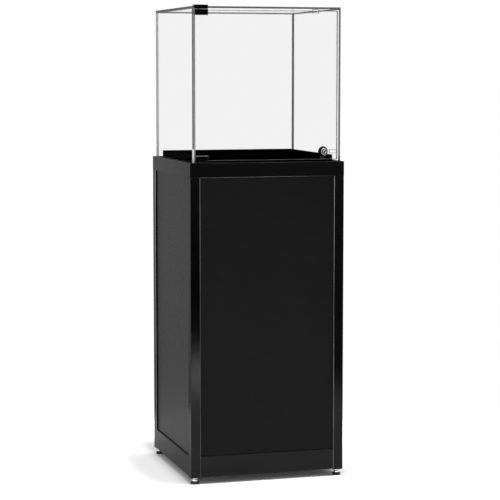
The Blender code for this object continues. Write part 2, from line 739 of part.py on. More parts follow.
def make_pivot_pins():
    clamp_face = CASE_TOP - SHEET - GAP - CLAMP_LOWER_PLATE
    patch_top = DOOR_TOP + PATCH_LIP
    space = clamp_face - patch_top
    top_pin = pivot_pin(CLAMP_LOWER_PLATE - GAP, space - 2 * GAP, space + PIN_DEPTH)
    place("top_pivot_pin", top_pin, zinc_steel(), (PIVOT_X, DOOR_MIDDLE, clamp_face), (math.pi, 0, 0))
    base_face = PLINTH_TOP + HINGE_BASE_THICKNESS
    space = DOOR_BOTTOM - PATCH_LIP - base_face
    bottom_pin = pivot_pin(HINGE_BASE_THICKNESS - 2 * GAP, space - 2 * GAP, space + PIN_DEPTH)
    place("bottom_pivot_pin", bottom_pin, zinc_steel(), (PIVOT_X, DOOR_MIDDLE, base_face))


def make_hinge_base():
    """The plate on the plinth that carries the lower pivot pin."""
    front = DOOR_FACE - GAP - PATCH_PLATE
    back = DOOR_INNER + GAP + PATCH_PLATE
    outline = rounded_rectangle((PIVOT_X - PATCH_LEFT, front), (PIVOT_X + PATCH_RIGHT, back), EDGE_RADIUS)
    seat = circle((PIVOT_X, DOOR_MIDDLE), PIN_RADIUS, 20)
    bm = prism([outline, seat], PLINTH_TOP + GAP, PLINTH_TOP + HINGE_BASE_THICKNESS)
    place("bottom_hinge_base", to_mesh("bottom_hinge_base", bm), hinge_black())


# Cam lock


def lock_part(name, mesh, material, axis):
    return place(name, mesh, material, (LOCK_X, DOOR_FACE, LOCK_Z), AXIS_FORWARD, axis)


def make_lock_body(door_axis):
    """The pieces fixed to the door: the chrome barrel, the ring in front and the nut behind."""
    bore = PLUG_RADIUS + GAP
    seat = BEZEL_FRONT + GAP
    rounding = LOCK_ROUNDING
    barrel_profile = turned((bore, BARREL_REAR), (BARREL_RADIUS, BARREL_REAR), (BARREL_RADIUS, seat))
    barrel_profile += turned((BARREL_HEAD_RADIUS, seat))
    head_edge = arc((BARREL_HEAD_RADIUS - rounding, BARREL_FRONT - rounding), rounding, 0, 90, 3)
    barrel_profile += turned(*head_edge)
    barrel_profile += turned((bore + BORE_CHAMFER, BARREL_FRONT), (bore, BARREL_FRONT - BORE_CHAMFER))
    barrel = to_mesh("lock_barrel", lathe(barrel_profile, segments=32, closed=True), smooth=True)
    lock_part("lock_barrel", barrel, chrome(), door_axis)
    hole = BARREL_RADIUS + GAP
    bezel_edge = arc((BEZEL_RADIUS - rounding, BEZEL_FRONT - rounding), rounding, 0, 90, 3)
    bezel_profile = turned((hole, GAP), (BEZEL_RADIUS, GAP), *bezel_edge, (hole, BEZEL_FRONT))
    bezel = to_mesh("lock_bezel", lathe(bezel_profile, segments=32, closed=True), smooth=True)
    lock_part("lock_bezel", bezel, chrome(), door_axis)
    near = -SHEET - GAP
    far = near - LOCK_NUT_THICKNESS
    rim = LOCK_NUT_RADIUS
    nut_profile = turned((hole, far), (rim - LOCK_NUT_CHAMFER, far), (rim, far + LOCK_NUT_CHAMFER))
    nut_profile += turned((rim, near), (hole, near))
    nut = to_mesh("lock_nut", lathe(nut_profile, segments=32, closed=True), smooth=True)
    lock_part("lock_nut", nut, hinge_black(), door_axis)


def make_lock_plug(lock_axis):
    """The pieces that turn with the key: the plug, the cam on its tail and the cam's screw."""
    shoulder = BARREL_REAR - GAP
    cam_front = shoulder - GAP
    cam_back = cam_front - CAM_THICKNESS
    tail_end = cam_back + GAP
    thread_hole = CAM_SCREW_RADIUS + GAP
    hole_floor = tail_end + CAM_SCREW_DEPTH + GAP
    plug_face = BARREL_FRONT - GAP
    profile = turned((0, hole_floor), (thread_hole, hole_floor))
    profile += turned((thread_hole, tail_end), (TAIL_RADIUS, tail_end), (TAIL_RADIUS, shoulder))
    profile += turned((PLUG_RADIUS, shoulder), (PLUG_RADIUS, plug_face), (0, plug_face))
    slot_low = (-KEY_SLOT_HALF_WIDTH, -KEY_SLOT_HALF_LENGTH, plug_face - KEY_SLOT_DEPTH)
    slot = block(slot_low, (KEY_SLOT_HALF_WIDTH, KEY_SLOT_HALF_LENGTH, plug_face + GAP))
    bmesh.ops.rotate(slot, cent=(0, 0, 0), matrix=Matrix.Rotation(-KEY_SLOT_TILT, 3, "Z"), verts=slot.verts)
    plug = combine(to_mesh("key_plug", lathe(profile, segments=32)), [slot], "DIFFERENCE")
    plug.shade_smooth()
    plug.set_sharp_from_angle(angle=math.radians(35))
    lock_part("key_plug", plug, chrome(), lock_axis)
    half = CAM_WIDTH / 2
    outline = arc((0, 0), CAM_EYE_RADIUS, 0, 180, 12) + arc((0, half - CAM_LENGTH), half, 180, 360, 12)
    hole = circle((0, 0), TAIL_RADIUS + GAP, 24)
    cam = to_mesh("lock_cam", prism([outline, hole], cam_back, cam_front))
    lock_part("lock_cam", cam, hinge_black(), lock_axis)
    screw_seat = cam_back - GAP
    head_top = screw_seat - CAM_SCREW_HEAD
    rim = CAM_SCREW_HEAD / 2
    screw_end = tail_end + CAM_SCREW_DEPTH
    screw_profile = turned((0, head_top), (CAM_SCREW_HEAD_RADIUS - rim, head_top))
    screw_profile += turned((CAM_SCREW_HEAD_RADIUS, head_top + rim), (CAM_SCREW_HEAD_RADIUS, screw_seat))
    screw_profile += turned((CAM_SCREW_RADIUS, screw_seat), (CAM_SCREW_RADIUS, screw_end), (0, screw_end))
    cam_screw = to_mesh("cam_screw", lathe(screw_profile, segments=20), smooth=True)
    lock_part("cam_screw", cam_screw, zinc_steel(), lock_axis)


def main():
    clear_scene()
    make_posts()
    make_top_frame()
    make_corner_cleats()
    make_bottom_rails()
    make_panels()
    make_base_board()
    make_top_board()
    make_deck()
    make_feet()
    make_cube()
    make_door_stop()
    make_lock_keeper()
    make_top_clamp()
    make_hinge_base()
    make_pivot_pins()
    door_axis = joint_empty("door_axis", (PIVOT_X, DOOR_MIDDLE, DOOR_BOTTOM))
    make_door(door_axis)
    make_patches(door_axis)
    make_lock_body(door_axis)
    lock_axis = joint_empty("lock_axis", (LOCK_X, DOOR_FACE, LOCK_Z))
    make_lock_plug(lock_axis)


main()
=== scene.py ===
"""Looks for the display case: materials, fine pieces, studio floor, light and camera.

Metres, +Z up, front facing -Y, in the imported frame's own coordinates.
"""

import math

import bmesh
import bpy
from mathutils import Matrix, Vector


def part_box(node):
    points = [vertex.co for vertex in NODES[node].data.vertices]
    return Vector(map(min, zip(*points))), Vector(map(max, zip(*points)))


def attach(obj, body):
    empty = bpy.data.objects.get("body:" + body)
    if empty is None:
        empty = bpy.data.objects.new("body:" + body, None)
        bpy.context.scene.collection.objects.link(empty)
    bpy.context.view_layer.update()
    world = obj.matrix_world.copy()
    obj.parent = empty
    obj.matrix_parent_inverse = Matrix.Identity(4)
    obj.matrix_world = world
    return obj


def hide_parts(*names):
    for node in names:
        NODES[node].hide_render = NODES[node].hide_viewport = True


MM = 0.001

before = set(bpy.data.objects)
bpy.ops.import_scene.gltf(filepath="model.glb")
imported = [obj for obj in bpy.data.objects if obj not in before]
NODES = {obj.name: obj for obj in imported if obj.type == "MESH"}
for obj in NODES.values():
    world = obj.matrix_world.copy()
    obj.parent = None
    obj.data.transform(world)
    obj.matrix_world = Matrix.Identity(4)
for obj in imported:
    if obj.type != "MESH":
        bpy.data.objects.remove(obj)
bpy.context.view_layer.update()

FRAME_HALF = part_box("post_front_right")[1][0]
PLINTH_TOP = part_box("top_rail_front")[1][2]
DECK_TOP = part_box("display_deck")[1][2]

# Wear and painted highlights on the frame's arrises. Distances are inwards from its outer faces.
CORNER_STRIP = 10 * MM  # the outer arrises of the corners, hardly worn and hardly highlit
RAIL_WEAR_AND_HIGHLIGHT_START = 30 * MM  # the rails' level arrises are worn and painted with highlights from here on
WEAR_AND_HIGHLIGHT_FADE = 4 * MM
RIM_STRIP = 8 * MM  # below the top of the plinth, where level arrises are less worn and less highlit

# Heights between which the frame's painted arris highlights and the panels' painted light grow from low
# down to high up.
FOOT_OF_PLINTH = 0.3
HEAD_OF_PLINTH = 0.95

# Clear sheets: the axis across each one, and its index, low so that it reflects next to nothing.
SHEETS = {
    "clear_left": (0, 1.006),
    "clear_right": (0, 1.006),
    "clear_back": (1, 1.012),
    "clear_door": (1, 1.012),
    "clear_top": (2, 1.002),
}
CLEAR_BLOCKS = {"door_stop": 1, "lock_keeper": 1}
BLOCK_INDEX = 1.012
ARRIS_STRIP = 2.2 * MM  # width of the grey strip along the border of a clear sheet
SHADE_DEPTH = 8 * MM  # edges turn black over this depth below the deck's top
CORNER_REACH = 9 * MM  # how far from the rear left corner its edges are paler
LIT_HEIGHT = 45 * MM  # of the white foot of the left sheet's front edge
LIT_DEPTH = 1 * MM

# Cam lock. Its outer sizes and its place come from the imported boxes.
LOCK_CLEARANCE = 0.3 * MM
LOCK_BODY = 9 * MM  # radius of the threaded body
LOCK_BORE = 6.3 * MM
LOCK_THREAD_PITCH = 1.5 * MM
LOCK_THREAD_DEPTH = 0.5 * MM
LOCK_THREAD_RELIEF = 1 * MM  # plain neck between the thread and the head
HEAD_ROUNDING = 1.1 * MM
GROOVE_OUTER = 9.2 * MM  # the groove turned into the face of the head
GROOVE_INNER = 6.9 * MM
GROOVE_SLOPE = 0.2 * MM
GROOVE_DEPTH = 1.2 * MM
LIP_DROP = 0.1 * MM  # the lip inside the groove stands a little lower than the face
FLANGE_ROUNDING = 0.9 * MM
NUT_TEETH = 48
NUT_TOOTH_DEPTH = 0.7 * MM
NUT_BACK_INSET = 2.2 * MM
NUT_BACK_BEVEL = 1.4 * MM
NUT_SHOULDER_INSET = 1.4 * MM
NUT_FACE_INSET = 1.8 * MM
NUT_FACE_BEVEL = 0.8 * MM
PLUG_RADIUS = 6 * MM
PLUG_ROUNDING = 0.5 * MM
PLUG_LAND = 5.2 * MM  # the plug's face is flat out to here
PLUG_TAIL = 3.9 * MM
PLUG_TAIL_CHAMFER = 0.3 * MM
KEYWAY_HALF_LENGTH = 4.7 * MM
KEYWAY_HALF_WIDTH = 1.8 * MM
KEYWAY_LEAD_IN = 0.3 * MM
KEYWAY_LEAD_DEPTH = 0.4 * MM
KEYWAY_DEPTH = 6 * MM
KEYWAY_TILT = math.radians(38)
CAM_HALF_WIDTH = 5.5 * MM
CAM_EDGE = 0.4 * MM  # rolled over by the stamping
CAM_ARC_STEPS = 24

# Cross-head screw in the cam.
CAM_SCREW_SHANK = 1.5 * MM
CAM_SCREW_CHAMFER = 0.3 * MM
CAM_SCREW_HEAD = 5 * MM
CAM_SCREW_ROUNDING = 1.5 * MM
CROSS_REACH = 2.6 * MM
CROSS_HALF_WIDTH = 0.55 * MM
CROSS_DEPTH = 1.4 * MM
RECESS_CONE = 0.2 * MM  # a recess is this much deeper in its middle

# Button-head screws in the door patches.
PATCH_SCREW_SHANK = 2 * MM
PATCH_SCREW_CHAMFER = 0.4 * MM
PATCH_SCREW_HEAD = 3.8 * MM
PATCH_SCREW_HEIGHT = 2.2 * MM
PATCH_SCREW_ROUNDING = 1.8 * MM
SOCKET_FLATS = 2.5 * MM
SOCKET_FLOOR = 0.8 * MM  # above the underside of the head

# Levelling feet. Heights are above the floor, and the knob's is above the stem's low end.
CORNERS = ("front_left", "front_right", "back_right", "back_left")
PAD_RADIUS = 13 * MM
PAD_HEIGHT = 8 * MM
PAD_RIBS = 36
PAD_RIB_DEPTH = 0.6 * MM
PAD_CHAMFER = 0.8 * MM
RIBS_LOW = 1.6 * MM
RIBS_HIGH = 5.4 * MM
PAD_SHOULDER = 12 * MM
PAD_SHOULDER_HEIGHT = 6 * MM
PAD_ROUNDING = 1.6 * MM
PAD_SOCKET = 4.6 * MM  # radius of the recess that the stem turns in
PAD_SOCKET_CHAMFER = 0.6 * MM
PAD_SOCKET_FLOOR = 2.6 * MM
STEM_RADIUS = 5 * MM
STEM_NECK = 3.2 * MM
STEM_CHAMFER = 1 * MM
STEM_TIP = 3.8 * MM
STEM_THREAD_LOW = 14.8 * MM
STEM_THREAD_PITCH = 1.5 * MM
STEM_THREAD_DEPTH = 0.6 * MM
KNOB_RADIUS = 4.2 * MM
KNOB_CHAMFER = 1.2 * MM
KNOB_HEIGHT = 3.6 * MM
HEX_FLATS = 17 * MM
HEX_CORNERS = 9.5 * MM  # the corners are turned off at this radius
HEX_FACE = 8.1 * MM
HEX_LOW = 8.3 * MM
HEX_HIGH = 14.3 * MM
HEX_CHAMFER = 0.8 * MM


# Shader helpers


def add(tree, kind, inputs=None, **settings):
    """Add a shader node. An input may be a value or another node's output socket."""
    node = tree.nodes.new("ShaderNode" + kind)
    for name, value in settings.items():
        setattr(node, name, value)
    for name, value in (inputs or {}).items():
        connect(tree, value, node.inputs[name])
    return node


def connect(tree, value, socket):
    if isinstance(value, bpy.types.NodeSocket):
        tree.links.new(value, socket)
    else:
        socket.default_value = value


def grey(level, tint=0.0):
    """A grey colour, a little bluer for a positive tint."""
    return (level, level, level * (1 + tint), 1.0)


def place_in_object(tree):
    """The point on the surface, in metres, in the object's own frame."""
    return add(tree, "TexCoord").outputs["Object"]


def noise(tree, where, scale, detail=3.0, roughness=0.5):
    settings = {"Vector": where, "Scale": scale, "Detail": detail, "Roughness": roughness}
    return add(tree, "TexNoise", settings).outputs["Fac"]


def stretched(tree, where, scale):
    """The same point with each axis scaled, for grain that runs one way."""
    return add(tree, "Mapping", {"Vector": where, "Scale": scale}).outputs["Vector"]


def ramp(tree, value, low, high, out_low=0.0, out_high=1.0):
    """Map a number from the range low..high to out_low..out_high, and clamp it."""
    inputs = {"Value": value, "From Min": low, "From Max": high, "To Min": out_low, "To Max": out_high}
    return add(tree, "MapRange", inputs).outputs["Result"]


def math_node(tree, operation, first, second=0.0):
    node = add(tree, "Math", operation=operation)
    connect(tree, first, node.inputs[0])
    connect(tree, second, node.inputs[1])
    return node.outputs[0]


def mix_colour(tree, share, first, second):
    node = add(tree, "Mix", data_type="RGBA")
    connect(tree, share, node.inputs[0])
    connect(tree, first, node.inputs[6])
    connect(tree, second, node.inputs[7])
    return node.outputs[2]


def bump(tree, height, distance, normal=None):
    inputs = {"Height": height, "Distance": distance}
    if normal is not None:
        inputs["Normal"] = normal
    return add(tree, "Bump", inputs).outputs["Normal"]


def edge_mask(tree, radius):
    """0 on flat ground, 1 on an arris, for wear along the edges."""
    soft = add(tree, "Bevel", {"Radius": radius}, samples=6).outputs["Normal"]
    true = add(tree, "NewGeometry").outputs["Normal"]
    alike = add(tree, "VectorMath", {0: soft, 1: true}, operation="DOT_PRODUCT").outputs["Value"]
    return ramp(tree, alike, 0.995, 0.85)


def new_material(name):
    material = bpy.data.materials.new(name)
    material.use_nodes = True
    return material, material.node_tree, material.node_tree.nodes["Principled BSDF"]


# Materials


def slanted_mask(tree, run="any"):
    """1 on rounded or cut arrises, whose faces aren't square to an axis.

    They may run "upright", "level" or "any" way.
    """
    normal = add(tree, "SeparateXYZ", {"Vector": add(tree, "TexCoord").outputs["Normal"]}).outputs
    x, y, z = (math_node(tree, "ABSOLUTE", component) for component in normal)
    largest = math_node(tree, "MAXIMUM", math_node(tree, "MAXIMUM", x, y), z)
    slanted = ramp(tree, largest, 0.995, 0.95)
    if run == "upright":
        return math_node(tree, "MULTIPLY", slanted, ramp(tree, z, 0.1, 0.05))
    if run == "level":
        return math_node(tree, "MULTIPLY", slanted, ramp(tree, z, 0.05, 0.1))
    return slanted


def worn_and_highlit_arrises(tree, where, patchy):
    """Where the frame's edges are rubbed to bright metal and carry painted highlights: beside the
    panels, most of all high up, slightly on top.
    """
    x, y, z = add(tree, "SeparateXYZ", {"Vector": where}).outputs
    nearer = math_node(tree, "MINIMUM", math_node(tree, "ABSOLUTE", x), math_node(tree, "ABSOLUTE", y))
    corner = FRAME_HALF - CORNER_STRIP
    off_corner = ramp(tree, nearer, corner, corner - WEAR_AND_HIGHLIGHT_FADE, 0.12, 1.0)
    # painted highlight: the arrises are made brighter towards the top of the plinth
    high_up = ramp(tree, z, FOOT_OF_PLINTH, HEAD_OF_PLINTH, 0.26, 1.0)
    upright = math_node(tree, "MULTIPLY", slanted_mask(tree, "upright"), off_corner)
    upright = math_node(tree, "MULTIPLY", upright, high_up)
    rail_end = FRAME_HALF - RAIL_WEAR_AND_HIGHLIGHT_START
    between_posts = ramp(tree, nearer, rail_end, rail_end - WEAR_AND_HIGHLIGHT_FADE, 0.02, 1.0)
    above_foot = ramp(tree, z, 0.2, 0.4, 0.04, 0.17)
    rim = PLINTH_TOP - RIM_STRIP
    below_rim = ramp(tree, z, rim, rim + WEAR_AND_HIGHLIGHT_FADE, 1.0, 0.3)
    level = math_node(tree, "MULTIPLY", slanted_mask(tree, "level"), between_posts)
    level = math_node(tree, "MULTIPLY", level, math_node(tree, "MULTIPLY", above_foot, below_rim))
    return math_node(tree, "MULTIPLY", math_node(tree, "MAXIMUM", upright, level), patchy)


def powder_coat():
    """Black semi-gloss powder coat: fine orange peel, faint dust, painted shade low down, and arrises
    rubbed bright with painted highlights.
    """
    material, tree, shader = new_material("powder_coat")
    where = place_in_object(tree)
    cloud = noise(tree, where, 14.0)
    peel = noise(tree, where, 900.0, detail=2.0)
    dust = ramp(tree, noise(tree, where, 2600.0, detail=1.0), 0.66, 0.78)
    wear_and_highlight = worn_and_highlit_arrises(tree, where, ramp(tree, cloud, 0.3, 0.6, 0.7, 1.0))
    _, _, height = add(tree, "SeparateXYZ", {"Vector": where}).outputs
    # painted shade: the coat is made darker towards the floor
    above_floor = ramp(tree, height, 0.05, 0.35)
    low_down = mix_colour(tree, cloud, grey(0.0115), grey(0.0145))
    high_up = mix_colour(tree, cloud, grey(0.013), grey(0.017))
    base = mix_colour(tree, above_floor, low_down, high_up)
    base = mix_colour(tree, math_node(tree, "MULTIPLY", dust, 0.15), base, grey(0.05))
    # painted highlight: the arrises are mixed to bright grey metal, partly as wear
    base = mix_colour(tree, wear_and_highlight, base, grey(0.75))
    connect(tree, base, shader.inputs["Base Color"])
    normal = add(tree, "TexCoord").outputs["Normal"]
    _, _, upward = add(tree, "SeparateXYZ", {"Vector": normal}).outputs
    dulled = ramp(tree, upward, 0.9, 0.98, 0.0, 0.45)  # level tops are dulled by wiping
    smooth = ramp(tree, cloud, 0.35, 0.65, 0.11, 0.14)
    connect(tree, math_node(tree, "ADD", smooth, dulled), shader.inputs["Roughness"])
    shader.inputs["Metallic"].default_value = 1.0
    shader.inputs["Specular Tint"].default_value = grey(0.49)
    connect(tree, bump(tree, peel, 0.006 * MM), shader.inputs["Normal"])
    return material


def faced_board():
    """Black melamine-faced board: a matt pearl texture with fine speckle, a faint drift in tone, and
    painted light that makes it lighter high up.
    """
    material, tree, shader = new_material("faced_board")
    where = place_in_object(tree)
    cloud = noise(tree, stretched(tree, where, (5.0, 5.0, 1.6)), 1.0, detail=2.0)
    pearl = noise(tree, where, 1400.0, detail=2.0, roughness=0.6)
    speck = ramp(tree, noise(tree, where, 520.0, detail=2.0), 0.4, 0.7)
    _, _, height = add(tree, "SeparateXYZ", {"Vector": where}).outputs
    # painted light: the board is made lighter towards the top of the plinth
    high_up = ramp(tree, height, FOOT_OF_PLINTH, HEAD_OF_PLINTH)
    base = mix_colour(tree, cloud, grey(0.005), grey(0.007))
    base = mix_colour(tree, high_up, base, mix_colour(tree, cloud, grey(0.006), grey(0.008)))
    base = mix_colour(tree, math_node(tree, "MULTIPLY", speck, 0.3), base, grey(0.012))
    connect(tree, base, shader.inputs["Base Color"])
    connect(tree, ramp(tree, speck, 0.0, 1.0, 0.42, 0.58), shader.inputs["Roughness"])
    shader.inputs["Specular IOR Level"].default_value = 0.07
    dimples = bump(tree, noise(tree, stretched(tree, where, (40.0, 40.0, 150.0)), 1.0), 0.6 * MM)
    connect(tree, bump(tree, pearl, 0.04 * MM, normal=dimples), shader.inputs["Normal"])
    return material


def deck_cloth():
    """Deep black cloth-faced board: no gloss even at a low angle, with a fine close weave."""
    material, tree, shader = new_material("deck_cloth")
    where = place_in_object(tree)
    yarn = {"Vector": where, "Scale": 620.0, "Distortion": 0.6}
    warp = add(tree, "TexWave", yarn, bands_direction="X")
    weft = add(tree, "TexWave", yarn, bands_direction="Y")
    weave = math_node(tree, "MULTIPLY", warp.outputs["Fac"], weft.outputs["Fac"])
    fluff = noise(tree, where, 300.0, detail=3.0)
    base = mix_colour(tree, weave, grey(0.0003), grey(0.0012))
    base = mix_colour(tree, ramp(tree, fluff, 0.55, 0.8, 0.0, 0.3), base, grey(0.003))
    connect(tree, base, shader.inputs["Base Color"])
    connect(tree, ramp(tree, fluff, 0.3, 0.7, 0.9, 1.0), shader.inputs["Roughness"])
    shader.inputs["Specular IOR Level"].default_value = 0.0
    connect(tree, bump(tree, weave, 0.08 * MM), shader.inputs["Normal"])
    return material


def border_mask(tree, where, name, thin_axis):
    """1 in a narrow strip along the border of a sheet and on its edges, 0 over its open face."""
    low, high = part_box(name)
    place = add(tree, "SeparateXYZ", {"Vector": where}).outputs
    mask = 0.0
    for axis in range(3):
        if axis == thin_axis:
            continue
        off_centre = math_node(tree, "SUBTRACT", place[axis], (low[axis] + high[axis]) / 2)
        away = math_node(tree, "ABSOLUTE", off_centre)
        half = (high[axis] - low[axis]) / 2
        strip = ramp(tree, away, half - ARRIS_STRIP, half - ARRIS_STRIP / 2)
        mask = math_node(tree, "MAXIMUM", strip, mask)
    return mask


def acrylic(name, thin_axis, index, edge_tone=0.15, edge_cover=0.85, face_tone=0.943):
    """Clear sheet: polished faces with faint wiping marks, and greyer sawn edges with small arrises."""
    material, tree, shader = new_material("acrylic_" + name)
    where = place_in_object(tree)
    border = border_mask(tree, where, name, thin_axis)
    ripple = noise(tree, where, 9.0, detail=1.0)
    smear = ramp(tree, noise(tree, where, 3.0, detail=4.0), 0.4, 0.8, 0.0, 0.012)
    streak = noise(tree, where, 240.0)
    edge = mix_colour(tree, streak, grey(edge_tone * 0.8), grey(edge_tone * 1.2))
    _, _, height = add(tree, "SeparateXYZ", {"Vector": where}).outputs
    in_shade = ramp(tree, height, DECK_TOP - SHADE_DEPTH, DECK_TOP, 0.95, 0.0)
    edge = mix_colour(tree, in_shade, edge, grey(0.0))
    if name in ("clear_left", "clear_back"):
        edge = mix_colour(tree, rear_left_corner(tree, where), edge, grey(0.55))
    if name == "clear_left":
        edge = mix_colour(tree, lit_foot(tree, where), edge, grey(0.85))
    connect(tree, mix_colour(tree, border, grey(face_tone), edge), shader.inputs["Base Color"])
    clear = ramp(tree, border, 0.0, 1.0, 1.0, 1.0 - edge_cover)
    connect(tree, clear, shader.inputs["Transmission Weight"])
    sawn = ramp(tree, streak, 0.3, 0.7, 0.25, 0.4)
    rough = math_node(tree, "MAXIMUM", smear, math_node(tree, "MULTIPLY", border, sawn))
    connect(tree, rough, shader.inputs["Roughness"])
    shader.inputs["IOR"].default_value = index
    connect(tree, bump(tree, ripple, 0.01 * MM), shader.inputs["Normal"])
    return material


def rear_left_corner(tree, where):
    """The upright edges at the rear left corner, which are paler than the others."""
    x, y, _ = add(tree, "SeparateXYZ", {"Vector": where}).outputs
    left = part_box("clear_left")[0][0] + CORNER_REACH
    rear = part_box("clear_back")[1][1] - CORNER_REACH
    near_left = ramp(tree, x, left, left + 1 * MM, 1.0, 0.0)
    near_rear = ramp(tree, y, rear - 1 * MM, rear)
    return math_node(tree, "MULTIPLY", near_left, near_rear)


def lit_foot(tree, where):
    """The front edge of the left sheet, which glows white for a short way up from the plinth."""
    _, y, z = add(tree, "SeparateXYZ", {"Vector": where}).outputs
    low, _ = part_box("clear_left")
    lit_top = low[2] + LIT_HEIGHT
    lit_rear = low[1] + LIT_DEPTH
    up = ramp(tree, z, lit_top, lit_top + 2 * MM, 1.0, 0.0)
    front = ramp(tree, y, lit_rear, lit_rear + 1 * MM, 1.0, 0.0)
    return math_node(tree, "MULTIPLY", up, front)


def hinge_black(name="hinge_black", arris=0.2):
    """Satin black coated metal with fine blasted grain and thin arrises painted bright as highlights.
    """
    material, tree, shader = new_material(name)
    where = place_in_object(tree)
    grain = noise(tree, where, 2200.0, detail=2.0)
    cloud = noise(tree, where, 60.0)
    base = mix_colour(tree, cloud, grey(0.0003), grey(0.0008))
    # painted highlight: the arrises are painted a lighter grey
    base = mix_colour(tree, slanted_mask(tree), base, grey(arris))
    connect(tree, base, shader.inputs["Base Color"])
    connect(tree, ramp(tree, cloud, 0.3, 0.7, 0.26, 0.34), shader.inputs["Roughness"])
    shader.inputs["Specular IOR Level"].default_value = 0.06
    connect(tree, bump(tree, grain, 0.006 * MM), shader.inputs["Normal"])
    return material


def cam_plate():
    """Blackened steel plate whose sheared sides are painted bright, a painted highlight along its edge.
    """
    material, tree, shader = new_material("cam_plate")
    where = place_in_object(tree)
    face = add(tree, "SeparateXYZ", {"Vector": add(tree, "TexCoord").outputs["Normal"]})
    # painted highlight: the sides of the plate are given a bright colour
    sheared = ramp(tree, math_node(tree, "ABSOLUTE", face.outputs[1]), 0.6, 0.3)
    cloud = noise(tree, where, 90.0)
    scratch = noise(tree, stretched(tree, where, (2500.0, 2500.0, 200.0)), 1.0)
    base = mix_colour(tree, cloud, grey(0.002), grey(0.005))
    bright = mix_colour(tree, scratch, grey(0.45), grey(0.7))
    connect(tree, mix_colour(tree, sheared, base, bright), shader.inputs["Base Color"])
    connect(tree, ramp(tree, scratch, 0.3, 0.7, 0.3, 0.42), shader.inputs["Roughness"])
    shader.inputs["Specular IOR Level"].default_value = 0.25
    connect(tree, bump(tree, scratch, 0.005 * MM), shader.inputs["Normal"])
    return material


def bright_metal(name, light, dark, smooth, rough, metallic=1.0, arris=0.9):
    """Plated metal: a faint haze, hairline scratches and rubbed arrises."""
    material, tree, shader = new_material(name)
    where = place_in_object(tree)
    haze = noise(tree, where, 180.0)
    hairline = noise(tree, stretched(tree, where, (300.0, 300.0, 4000.0)), 1.0, detail=4.0)
    base = mix_colour(tree, haze, grey(dark, 0.02), grey(light, 0.02))
    base = mix_colour(tree, edge_mask(tree, 0.4 * MM), base, grey(arris))
    connect(tree, base, shader.inputs["Base Color"])
    shader.inputs["Metallic"].default_value = metallic
    connect(tree, ramp(tree, hairline, 0.3, 0.7, smooth, rough), shader.inputs["Roughness"])
    connect(tree, bump(tree, hairline, 0.002 * MM), shader.inputs["Normal"])
    return material


def chrome():
    return bright_metal("chrome", light=0.8, dark=0.62, smooth=0.08, rough=0.2)


def satin_nickel():
    """Satin nickel, with painted shade in the lock's groove and keyway."""
    material = bright_metal("satin_nickel", light=0.7, dark=0.58, smooth=0.28, rough=0.4, metallic=0.85)
    tree = material.node_tree
    base = tree.nodes["Principled BSDF"].inputs["Base Color"]
    plated = base.links[0].from_socket
    axis = middle("lock_barrel")
    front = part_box("lock_barrel")[0][1]
    on_axis = (axis.x, front, axis.z)
    offset = add(tree, "VectorMath", {0: place_in_object(tree), 1: on_axis}, operation="SUBTRACT")
    x, depth, z = add(tree, "SeparateXYZ", {"Vector": offset.outputs["Vector"]}).outputs
    squares = math_node(tree, "ADD", math_node(tree, "POWER", x, 2.0), math_node(tree, "POWER", z, 2.0))
    away = math_node(tree, "SQRT", squares)
    # painted shade: the groove and the keyway are painted nearly black
    recessed = ramp(tree, depth, 0.35 * MM, 0.6 * MM)
    inside = ramp(tree, away, GROOVE_OUTER + 0.2 * MM, GROOVE_OUTER)
    painted_groove_shade = math_node(tree, "MULTIPLY", recessed, inside)
    connect(tree, mix_colour(tree, painted_groove_shade, plated, grey(0.01)), base)
    return material


def black_chrome():
    return bright_metal("black_chrome", light=0.05, dark=0.03, smooth=0.2, rough=0.32, arris=0.12)


def zinc():
    """Dull zinc plating with a slightly mottled tone."""
    material, tree, shader = new_material("zinc")
    where = place_in_object(tree)
    spangle = add(tree, "TexVoronoi", {"Vector": where, "Scale": 900.0}).outputs["Color"]
    mottle = noise(tree, where, 400.0)
    base = mix_colour(tree, mottle, grey(0.34, 0.03), grey(0.5, 0.03))
    base = mix_colour(tree, 0.12, base, spangle)
    connect(tree, base, shader.inputs["Base Color"])
    shader.inputs["Metallic"].default_value = 1.0
    connect(tree, ramp(tree, mottle, 0.3, 0.7, 0.25, 0.45), shader.inputs["Roughness"])
    connect(tree, bump(tree, mottle, 0.01 * MM), shader.inputs["Normal"])
    return material


def aluminium():
    """Mill-finish aluminium with drawn lines."""
    material, tree, shader = new_material("aluminium")
    where = place_in_object(tree)
    lines = noise(tree, stretched(tree, where, (40.0, 40.0, 2500.0)), 1.0, detail=3.0)
    connect(tree, mix_colour(tree, lines, grey(0.5), grey(0.68)), shader.inputs["Base Color"])
    shader.inputs["Metallic"].default_value = 1.0
    connect(tree, ramp(tree, lines, 0.3, 0.7, 0.3, 0.5), shader.inputs["Roughness"])
    connect(tree, bump(tree, lines, 0.01 * MM), shader.inputs["Normal"])
    return material


def nylon():
    """Moulded black nylon with a fine spark-eroded grain."""
    material, tree, shader = new_material("nylon")
    where = place_in_object(tree)
    grain = noise(tree, where, 1800.0, detail=2.0)
    connect(tree, mix_colour(tree, grain, grey(0.004), grey(0.009)), shader.inputs["Base Color"])
    connect(tree, ramp(tree, grain, 0.3, 0.7, 0.45, 0.65), shader.inputs["Roughness"])
    shader.inputs["Specular IOR Level"].default_value = 0.3
    connect(tree, bump(tree, grain, 0.02 * MM), shader.inputs["Normal"])
    return material


def paint(material, *names):
    """Give CAD nodes a material. A name may end in * to stand for every node that starts that way."""
    for name in names:
        stem = name.rstrip("*")
        for node_name, node in NODES.items():
            if node_name == name or (name.endswith("*") and node_name.startswith(stem)):
                node.data.materials.clear()
                node.data.materials.append(material)


